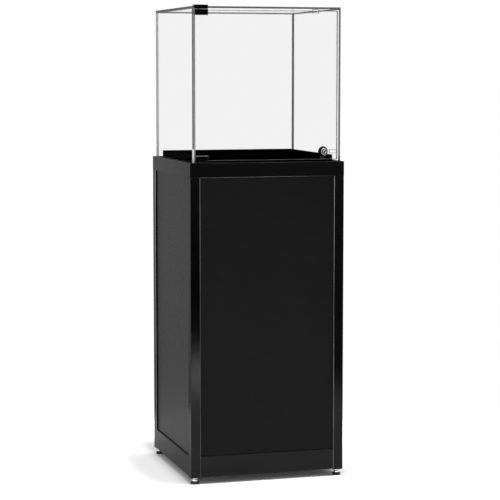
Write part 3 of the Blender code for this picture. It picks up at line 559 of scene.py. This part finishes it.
def dress_nodes():
    paint(LOOKS["powder_coat"], "post_*", "top_rail_*", "bottom_rail_*")
    paint(LOOKS["faced_board"], "panel_*", "base_board", "top_board")
    paint(deck_cloth(), "display_deck")
    for name, (thin_axis, index) in SHEETS.items():
        paint(acrylic(name, thin_axis, index), name)
    for name, thin_axis in CLEAR_BLOCKS.items():
        block = acrylic(name, thin_axis, BLOCK_INDEX, edge_tone=0.5, edge_cover=0.4, face_tone=0.99)
        paint(block, name)
    hinge_names = ("top_hinge_clamp", "bottom_hinge_base", "top_patch_outer", "top_patch_inner")
    paint(LOOKS["hinge_black"], *hinge_names)
    # The bottom patches sit in shade, so their arrises get a brighter painted highlight.
    paint(hinge_black("hinge_black_brighter_highlight", arris=0.7), "bottom_patch_outer", "bottom_patch_inner")
    paint(LOOKS["zinc"], "foot_nut_*", "top_pivot_pin", "bottom_pivot_pin")
    paint(aluminium(), "cleat_*")


# Fine pieces

SHARP_ANGLE = math.radians(32)  # between faces that meet in a visible edge
SEGMENTS = 96  # round a turned piece
FINE_SEGMENTS = 192  # where a recess in its face has corners


def hexagon(across_flats, limit=1.0):
    """Radius of a hexagon at an angle, no further out than limit."""

    def radius(angle):
        off_flat = (angle % math.radians(60)) - math.radians(30)
        return min(limit, across_flats / 2 / math.cos(off_flat))

    return radius


def serrated(outer, inner, count):
    """Radius of a rim with count even teeth."""

    def radius(angle):
        return inner + (outer - inner) * (0.5 + 0.5 * math.cos(count * angle))

    return radius


def slot_shape(half_length, half_width, tilt):
    """Radius of a slot, measured from its middle. It is turned from +Y towards +X by tilt."""

    def radius(angle):
        along = abs(math.sin(angle + tilt))
        across = abs(math.cos(angle + tilt))
        return min(half_length / max(along, 0.01), half_width / max(across, 0.01))

    return radius


def cross_shape(reach, half_width):
    """Radius of a cross-head recess, measured from its middle."""

    def radius(angle):
        off_arm = abs((angle + math.radians(45)) % math.radians(90) - math.radians(45))
        return min(reach, half_width / max(math.sin(off_arm), 0.01))

    return radius


def rounded_rim(radius, height, rounding, steps=5):
    """Profile points of a quarter round from the side of a turned piece up to its face."""
    points = []
    for step in range(steps + 1):
        angle = math.radians(90) * step / steps
        across = radius - rounding + rounding * math.cos(angle)
        points.append((across, height - rounding + rounding * math.sin(angle)))
    return points


def thread(radius, low, high, pitch, depth):
    """Profile points of a thread, drawn as closed grooves."""
    turns = int((high - low) / pitch)
    points = []
    for turn in range(turns):
        z = low + turn * pitch
        points += [(radius - depth, z), (radius, z + pitch / 2)]
    return points + [(radius - depth, high)]


def lathe(profile, segments=SEGMENTS, closed=False):
    """Turn a profile of (radius, height) round +Z, bottom to top up the outside.

    A radius may be a function of the angle. A closed profile makes a ring with a bore.
    """
    bm = bmesh.new()
    rings = []
    for radius, height in profile:
        if radius == 0:
            rings.append([bm.verts.new((0, 0, height))] * segments)
            continue
        ring = []
        for step in range(segments):
            angle = 2 * math.pi * step / segments
            reach = radius(angle) if callable(radius) else radius
            ring.append(bm.verts.new((reach * math.cos(angle), reach * math.sin(angle), height)))
        rings.append(ring)
    pairs = list(zip(rings, rings[1:]))
    if closed:
        pairs.append((rings[-1], rings[0]))
    for lower, upper in pairs:
        for step in range(segments):
            after = (step + 1) % segments
            corners = []
            for corner in (lower[step], lower[after], upper[after], upper[step]):
                if corner not in corners:
                    corners.append(corner)
            if len(corners) > 2:
                bm.faces.new(corners)
    return bm


def add_piece(name, bm, place, look, body, node):
    """Put a piece in its place, let it ride on a body, and let it stand for a CAD node."""
    bmesh.ops.transform(bm, matrix=place, verts=bm.verts)
    mesh = bpy.data.meshes.new(name)
    bm.to_mesh(mesh)
    bm.free()
    mesh.materials.append(LOOKS[look])
    mesh.shade_smooth()
    mesh.set_sharp_from_angle(angle=SHARP_ANGLE)
    piece = bpy.data.objects.new(name, mesh)
    bpy.context.collection.objects.link(piece)
    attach(piece, body)
    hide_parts(node)


def turned_to(point, facing):
    """A frame at a point with its +Z turned to face a direction."""
    return Matrix.Translation(point) @ Vector(facing).to_track_quat("Z", "Y").to_matrix().to_4x4()


def middle(name):
    low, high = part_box(name)
    return (Vector(low) + Vector(high)) / 2


def lock_frame():
    """A frame on the lock's axis at the outer face of the door, with +Z forwards and +Y up."""
    axis = middle("lock_barrel")
    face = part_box("clear_door")[0][1]
    return Matrix.Translation((axis.x, face, axis.z)) @ Matrix.Rotation(math.radians(90), 4, "X")


def height_range(name, place):
    """How far a node reaches along +Z of a frame whose +Z is forwards."""
    low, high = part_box(name)
    return place.translation.y - high[1], place.translation.y - low[1]


def radius_of(name):
    low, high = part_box(name)
    return (high[0] - low[0]) / 2


def make_lock():
    """The cam lock's head, flange, ring nut, plug with its keyway, cam and cam screw."""
    place = lock_frame()
    make_lock_head(place)
    make_lock_flange(place)
    make_lock_nut(place)
    make_plug(place)
    make_cam(place)
    make_cam_screw(place)


def make_lock_head(place):
    """The barrel: a threaded body and a rounded head with a groove, bored for the plug."""
    rear, front = height_range("lock_barrel", place)
    head_radius = radius_of("lock_barrel")
    seat = height_range("lock_bezel", place)[1] + LOCK_CLEARANCE
    floor = front - GROOVE_DEPTH
    lip = front - LIP_DROP
    neck = seat - LOCK_THREAD_RELIEF
    profile = thread(LOCK_BODY, rear, neck, LOCK_THREAD_PITCH, LOCK_THREAD_DEPTH)
    profile += [(LOCK_BODY, seat), (head_radius, seat)]
    profile += rounded_rim(head_radius, front, HEAD_ROUNDING)
    profile += [(GROOVE_OUTER, front), (GROOVE_OUTER - GROOVE_SLOPE, floor)]
    profile += [(GROOVE_INNER, floor), (GROOVE_INNER - GROOVE_SLOPE, lip)]
    profile += [(LOCK_BORE, lip), (LOCK_BORE, rear)]
    head = lathe(profile, closed=True)
    add_piece("lock_head", head, place, "satin_nickel", "door", "lock_barrel")


def make_lock_flange(place):
    """The thin round flange between the head and the door."""
    low, high = height_range("lock_bezel", place)
    rim = radius_of("lock_bezel")
    bore = LOCK_BODY + LOCK_CLEARANCE
    profile = [(bore, low), (rim, low)]
    profile += rounded_rim(rim, high, FLANGE_ROUNDING)
    profile += [(bore, high)]
    flange = lathe(profile, closed=True)
    add_piece("lock_flange", flange, place, "black_chrome", "door", "lock_bezel")


def make_lock_nut(place):
    """The serrated ring nut behind the door."""
    low, high = height_range("lock_nut", place)
    rim = radius_of("lock_nut")
    bore = LOCK_BODY + LOCK_CLEARANCE
    teeth = serrated(rim, rim - NUT_TOOTH_DEPTH, NUT_TEETH)
    profile = [(bore, low), (rim - NUT_BACK_INSET, low), (teeth, low + NUT_BACK_BEVEL)]
    profile += [(teeth, high - 2 * NUT_FACE_BEVEL), (rim - NUT_SHOULDER_INSET, high - NUT_FACE_BEVEL)]
    profile += [(rim - NUT_FACE_INSET, high), (bore, high)]
    nut = lathe(profile, 4 * NUT_TEETH, closed=True)
    add_piece("lock_ring_nut", nut, place, "nut_black", "door", "lock_nut")


def make_plug(place):
    """The plug turns in the barrel. Its face has a keyway with a small lead-in."""
    low, high = height_range("key_plug", place)
    tail_top = height_range("lock_barrel", place)[0] - LOCK_CLEARANCE
    keyway = slot_shape(KEYWAY_HALF_LENGTH, KEYWAY_HALF_WIDTH, KEYWAY_TILT)
    lead_length = KEYWAY_HALF_LENGTH + KEYWAY_LEAD_IN
    lead_width = KEYWAY_HALF_WIDTH + KEYWAY_LEAD_IN
    lead_in = slot_shape(lead_length, lead_width, KEYWAY_TILT)
    floor = high - KEYWAY_DEPTH
    profile = [(0, low), (PLUG_TAIL - PLUG_TAIL_CHAMFER, low), (PLUG_TAIL, low + PLUG_TAIL_CHAMFER)]
    profile += [(PLUG_TAIL, tail_top), (PLUG_RADIUS, tail_top)]
    profile += rounded_rim(PLUG_RADIUS, high, PLUG_ROUNDING, steps=3)
    profile += [(PLUG_LAND, high), (lead_in, high), (keyway, high - KEYWAY_LEAD_DEPTH)]
    profile += [(keyway, floor), (0, floor)]
    plug = lathe(profile, FINE_SEGMENTS)
    add_piece("plug_with_keyway", plug, place, "satin_nickel", "lock_plug", "key_plug")


def cam_outline(eye, tip, inset):
    """Points round the cam, inset by a little, from its eye down to its tip."""
    points = []
    for step in range(CAM_ARC_STEPS + 1):
        angle = math.pi * step / CAM_ARC_STEPS
        points.append(((eye - inset) * math.cos(angle), (eye - inset) * math.sin(angle)))
    half = CAM_HALF_WIDTH - inset
    for step in range(CAM_ARC_STEPS + 1):
        angle = math.pi + math.pi * step / CAM_ARC_STEPS
        points.append((half * math.cos(angle), CAM_HALF_WIDTH - tip + half * math.sin(angle)))
    return points


def make_cam(place):
    """A flat stamped cam with a rolled outline."""
    low, high = height_range("lock_cam", place)
    eye = radius_of("lock_cam")
    tip = middle("lock_barrel").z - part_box("lock_cam")[0][2]
    layers = ((CAM_EDGE, low), (0.0, low + CAM_EDGE), (0.0, high - CAM_EDGE), (CAM_EDGE, high))
    bm = bmesh.new()
    rings = []
    for inset, z in layers:
        rings.append([bm.verts.new((x, y, z)) for x, y in cam_outline(eye, tip, inset)])
    for lower, upper in zip(rings, rings[1:]):
        for step in range(len(lower)):
            after = (step + 1) % len(lower)
            bm.faces.new((lower[step], lower[after], upper[after], upper[step]))
    bm.faces.new(list(reversed(rings[0])))
    bm.faces.new(rings[-1])
    add_piece("stamped_cam", bm, place, "cam_plate", "lock_plug", "lock_cam")


def make_cam_screw(place):
    """The cross-head screw that holds the cam on the plug, facing backwards."""
    low, high = height_range("cam_screw", place)
    backward = place @ Matrix.Rotation(math.pi, 4, "Y")
    seat = -height_range("lock_cam", place)[0] + LOCK_CLEARANCE
    top = -low
    recess = cross_shape(CROSS_REACH, CROSS_HALF_WIDTH)
    floor = top - CROSS_DEPTH
    profile = [(0, -high), (CAM_SCREW_SHANK - CAM_SCREW_CHAMFER, -high)]
    profile += [(CAM_SCREW_SHANK, -high + CAM_SCREW_CHAMFER), (CAM_SCREW_SHANK, seat)]
    profile += [(CAM_SCREW_HEAD, seat)]
    profile += rounded_rim(CAM_SCREW_HEAD, top, CAM_SCREW_ROUNDING)
    profile += [(recess, top), (recess, floor), (0, floor - RECESS_CONE)]
    screw = lathe(profile, FINE_SEGMENTS)
    add_piece("cross_head_screw", screw, backward, "zinc", "lock_plug", "cam_screw")


def make_patch_screws():
    """Button-head screws with a hexagon socket, on the inner side of the door."""
    socket = hexagon(SOCKET_FLATS)
    for end in ("top", "bottom"):
        for number in (1, 2):
            node = f"{end}_patch_screw_{number}"
            low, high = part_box(node)
            centre = middle(node)
            seat = high[1] - PATCH_SCREW_HEIGHT
            place = turned_to((centre.x, seat, centre.z), (0, 1, 0))
            rear = low[1] - seat
            profile = [(0, rear), (PATCH_SCREW_SHANK - PATCH_SCREW_CHAMFER, rear)]
            profile += [(PATCH_SCREW_SHANK, rear + PATCH_SCREW_CHAMFER), (PATCH_SCREW_SHANK, 0)]
            profile += [(PATCH_SCREW_HEAD, 0)]
            profile += rounded_rim(PATCH_SCREW_HEAD, PATCH_SCREW_HEIGHT, PATCH_SCREW_ROUNDING)
            profile += [(socket, PATCH_SCREW_HEIGHT), (socket, SOCKET_FLOOR)]
            profile += [(0, SOCKET_FLOOR - RECESS_CONE)]
            add_piece(f"socket_screw_{end}_{number}", lathe(profile), place, "zinc", "door", node)


def make_pad(corner):
    """A ribbed nylon pad with a recess for the end of the stem."""
    node = f"foot_pad_{corner}"
    centre = middle(node)
    place = Matrix.Translation((centre.x, centre.y, 0.0))
    root = PAD_RADIUS - PAD_RIB_DEPTH
    ribs = serrated(PAD_RADIUS, root, PAD_RIBS)
    profile = [(0, 0), (root - PAD_CHAMFER, 0), (root, PAD_CHAMFER)]
    profile += [(ribs, RIBS_LOW), (ribs, RIBS_HIGH), (root, PAD_SHOULDER_HEIGHT)]
    profile += rounded_rim(PAD_SHOULDER, PAD_HEIGHT, PAD_ROUNDING)
    profile += [(PAD_SOCKET + PAD_SOCKET_CHAMFER, PAD_HEIGHT)]
    profile += [(PAD_SOCKET, PAD_HEIGHT - PAD_SOCKET_CHAMFER)]
    profile += [(PAD_SOCKET, PAD_SOCKET_FLOOR), (0, PAD_SOCKET_FLOOR)]
    add_piece(f"ribbed_pad_{corner}", lathe(profile, 4 * PAD_RIBS), place, "nylon", "plinth", node)


def make_stem(corner):
    """A threaded stem with a knob that turns in the pad and a chamfered hexagon for a spanner."""
    node = f"foot_stem_{corner}"
    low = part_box(node)[0][2]
    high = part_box(node)[1][2]
    centre = middle(f"foot_pad_{corner}")
    place = Matrix.Translation((centre.x, centre.y, 0.0))
    flats = hexagon(HEX_FLATS, limit=HEX_CORNERS)
    profile = [(0, low), (KNOB_RADIUS - KNOB_CHAMFER, low), (KNOB_RADIUS, low + KNOB_CHAMFER)]
    profile += [(STEM_NECK, low + KNOB_HEIGHT), (STEM_NECK, HEX_LOW), (HEX_FACE, HEX_LOW)]
    profile += [(flats, HEX_LOW + HEX_CHAMFER), (flats, HEX_HIGH - HEX_CHAMFER)]
    profile += [(HEX_FACE, HEX_HIGH), (STEM_RADIUS, HEX_HIGH)]
    thread_high = high - STEM_CHAMFER
    profile += thread(STEM_RADIUS, STEM_THREAD_LOW, thread_high, STEM_THREAD_PITCH, STEM_THREAD_DEPTH)
    profile += [(STEM_TIP, high), (0, high)]
    add_piece(f"threaded_stem_{corner}", lathe(profile), place, "chrome", node, node)


def make_feet():
    """A pad and a stem at each corner. A stem's body has the same name as its CAD node."""
    for corner in CORNERS:
        make_pad(corner)
        make_stem(corner)


# Studio

CAMERA_AZIMUTH = math.radians(-16.27)  # 0 looks along +Y
CAMERA_ELEVATION = math.radians(5.72)
CAMERA_DISTANCE = 5.8685
CAMERA_AIM = Vector((0.0135, -0.0038, 0.7070))
CAMERA_LENS = 129.74
SENSOR = 36.0
KEY_HEIGHT = 6.0
KEY_LINE = -0.44  # a little in front of the case, so that light reaches just under its front rail
KEY_SIZE = (0.25, 0.36)
KEY_POWER = 180.0
KEY_PLACES = {"left_key": -0.22, "right_key": 0.2}
FLOOR_LOW = (-1.3, -3.15)  # the paper floor, square to the camera
FLOOR_HIGH = (1.25, 0.85)
FLOOR_FADE = 0.14


def make_camera():
    """A camera at its distance behind the aim point, looking at it."""
    level = math.cos(CAMERA_ELEVATION)
    x = math.sin(CAMERA_AZIMUTH) * level
    y = -math.cos(CAMERA_AZIMUTH) * level
    back = Vector((x, y, math.sin(CAMERA_ELEVATION)))
    data = bpy.data.cameras.new("camera")
    data.lens = CAMERA_LENS
    data.sensor_width = SENSOR
    camera = bpy.data.objects.new("camera", data)
    camera.location = CAMERA_AIM + back * CAMERA_DISTANCE
    camera.rotation_mode = "QUATERNION"
    camera.rotation_quaternion = (-back).to_track_quat("-Z", "Y")
    bpy.context.collection.objects.link(camera)
    bpy.context.scene.camera = camera


def band(tree, value, low, high, soft):
    """1 where low < value < high, fading over soft at each end."""
    rise = ramp(tree, value, low - soft, low + soft)
    fall = ramp(tree, value, high - soft, high + soft, 1.0, 0.0)
    return math_node(tree, "MULTIPLY", rise, fall)


def sector(tree, azimuth, low, high, soft):
    """1 between two azimuths in degrees, fading over soft at each end."""
    return band(tree, azimuth, math.radians(low), math.radians(high), math.radians(soft))


def room_colour(tree):
    """The room that lights the case and shows in its gloss: white, but for three darker parts.

    Its front is dark, and darkest below the horizon, so that the front of the case stays black. Behind
    at the right it is nearly black above the horizon. Behind at the left it is grey well below it.
    Azimuth 0 is towards -Y, and 90 towards +X.
    """
    direction = add(tree, "SeparateXYZ", {"Vector": add(tree, "TexCoord").outputs["Generated"]})
    x, y, z = direction.outputs
    azimuth = math_node(tree, "ARCTAN2", x, math_node(tree, "MULTIPLY", y, -1.0))
    overhead = band(tree, z, 0.043, 0.7, 0.002)
    rear_right = sector(tree, azimuth, 152, 170, 2)
    high_right = math_node(tree, "MULTIPLY", overhead, rear_right)
    colour = mix_colour(tree, high_right, grey(1.0), grey(0.06))
    rear_left = sector(tree, azimuth, -172, -158, 3)
    low_down = ramp(tree, z, -0.18, -0.12, 1.0, 0.0)
    low_left = math_node(tree, "MULTIPLY", rear_left, low_down)
    colour = mix_colour(tree, low_left, colour, grey(0.55))
    rightwards = ramp(tree, azimuth, math.radians(14), math.radians(20))
    low_front = mix_colour(tree, rightwards, grey(0.03), grey(0.27))
    front_colour = mix_colour(tree, ramp(tree, z, -0.10, -0.03), low_front, grey(0.42))
    front = sector(tree, azimuth, -62, 30, 6)
    return mix_colour(tree, front, colour, front_colour)


def make_world():
    """The room, with a plain white backdrop behind the case and seen through its clear sheets."""
    world = bpy.data.worlds.new("studio")
    bpy.context.scene.world = world
    world.use_nodes = True
    tree = world.node_tree
    background = tree.nodes["Background"]
    path = add(tree, "LightPath").outputs
    backdrop = math_node(tree, "MAXIMUM", path["Is Camera Ray"], path["Is Transmission Ray"])
    connect(tree, mix_colour(tree, backdrop, room_colour(tree), grey(1.0)), background.inputs["Color"])
    background.inputs["Strength"].default_value = 1.0


def soft_light(name, location, target, size, power, spread=math.pi):
    """A rectangular light, which shows in gloss but not to the camera."""
    data = bpy.data.lights.new(name, "AREA")
    data.shape = "RECTANGLE"
    data.size, data.size_y = size
    data.energy = power
    data.spread = spread
    light = bpy.data.objects.new(name, data)
    light.location = location
    light.rotation_mode = "QUATERNION"
    light.rotation_quaternion = (Vector(target) - Vector(location)).to_track_quat("-Z", "Y")
    light.visible_camera = False
    bpy.context.collection.objects.link(light)


def make_lights():
    """Two keys overhead, a light on the floor in front, one that skims under the front rail, a fill."""
    for name, x in KEY_PLACES.items():
        soft_light(name, (x, KEY_LINE, KEY_HEIGHT), (x, KEY_LINE, 0), KEY_SIZE, KEY_POWER)
    floor_spot = (0.35, -2.25, 0)
    over_spot = (0.35, -2.25, 0.75)
    soft_light("floor_light", over_spot, floor_spot, (0.7, 0.5), power=10.0, spread=math.radians(95))
    under_rail = (-0.1, -0.2, 0)
    near_floor = (-1.1, -2.3, 0.12)
    soft_light("low_light", near_floor, under_rail, (0.6, 0.02), power=0.13, spread=math.radians(5))
    over_right = (1.7, 0.5, 2.4)
    right_spot = (0.7, 0.2, 0)
    soft_light("right_fill", over_right, right_spot, (1.2, 1.2), power=16.0)


def floor_material():
    """Pale matt paper floor that fades out along its border."""
    material, tree, shader = new_material("studio_floor")
    output = tree.nodes["Material Output"]
    where = place_in_object(tree)
    cloud = noise(tree, where, 2.5, detail=2.0)
    connect(tree, mix_colour(tree, cloud, grey(0.84), grey(0.87)), shader.inputs["Base Color"])
    connect(tree, ramp(tree, cloud, 0.3, 0.7, 0.75, 0.85), shader.inputs["Roughness"])
    shader.inputs["Specular IOR Level"].default_value = 0.2
    place = add(tree, "SeparateXYZ", {"Vector": where}).outputs
    gone = 0.0
    for axis in range(2):
        middle_line = (FLOOR_LOW[axis] + FLOOR_HIGH[axis]) / 2
        half = (FLOOR_HIGH[axis] - FLOOR_LOW[axis]) / 2
        off_centre = math_node(tree, "SUBTRACT", place[axis], middle_line)
        away = math_node(tree, "ABSOLUTE", off_centre)
        gone = math_node(tree, "MAXIMUM", ramp(tree, away, half - FLOOR_FADE, half), gone)
    blend = add(tree, "MixShader")
    tree.links.new(gone, blend.inputs[0])
    tree.links.new(shader.outputs[0], blend.inputs[1])
    tree.links.new(add(tree, "BsdfTransparent").outputs[0], blend.inputs[2])
    tree.links.new(blend.outputs[0], output.inputs["Surface"])
    return material


def make_floor():
    """One flat sheet of paper, turned square to the camera."""
    bm = bmesh.new()
    bmesh.ops.create_grid(bm, x_segments=1, y_segments=1, size=0.5)
    for vert in bm.verts:
        for axis in range(2):
            vert.co[axis] = FLOOR_HIGH[axis] if vert.co[axis] > 0 else FLOOR_LOW[axis]
    mesh = bpy.data.meshes.new("studio_floor")
    bm.to_mesh(mesh)
    bm.free()
    mesh.materials.append(floor_material())
    floor = bpy.data.objects.new("studio_floor", mesh)
    floor.rotation_euler.z = CAMERA_AZIMUTH
    bpy.context.collection.objects.link(floor)


def set_colour_management():
    bpy.context.scene.view_settings.view_transform = "Standard"


LOOKS = {
    "powder_coat": powder_coat(),
    "faced_board": faced_board(),
    "hinge_black": hinge_black(),
    "nut_black": hinge_black("nut_black", arris=0.002),
    "cam_plate": cam_plate(),
    "satin_nickel": satin_nickel(),
    "black_chrome": black_chrome(),
    "chrome": chrome(),
    "zinc": zinc(),
    "nylon": nylon(),
}
dress_nodes()
make_lock()
make_patch_screws()
make_feet()
make_camera()
make_world()
make_lights()
make_floor()
set_colour_management()
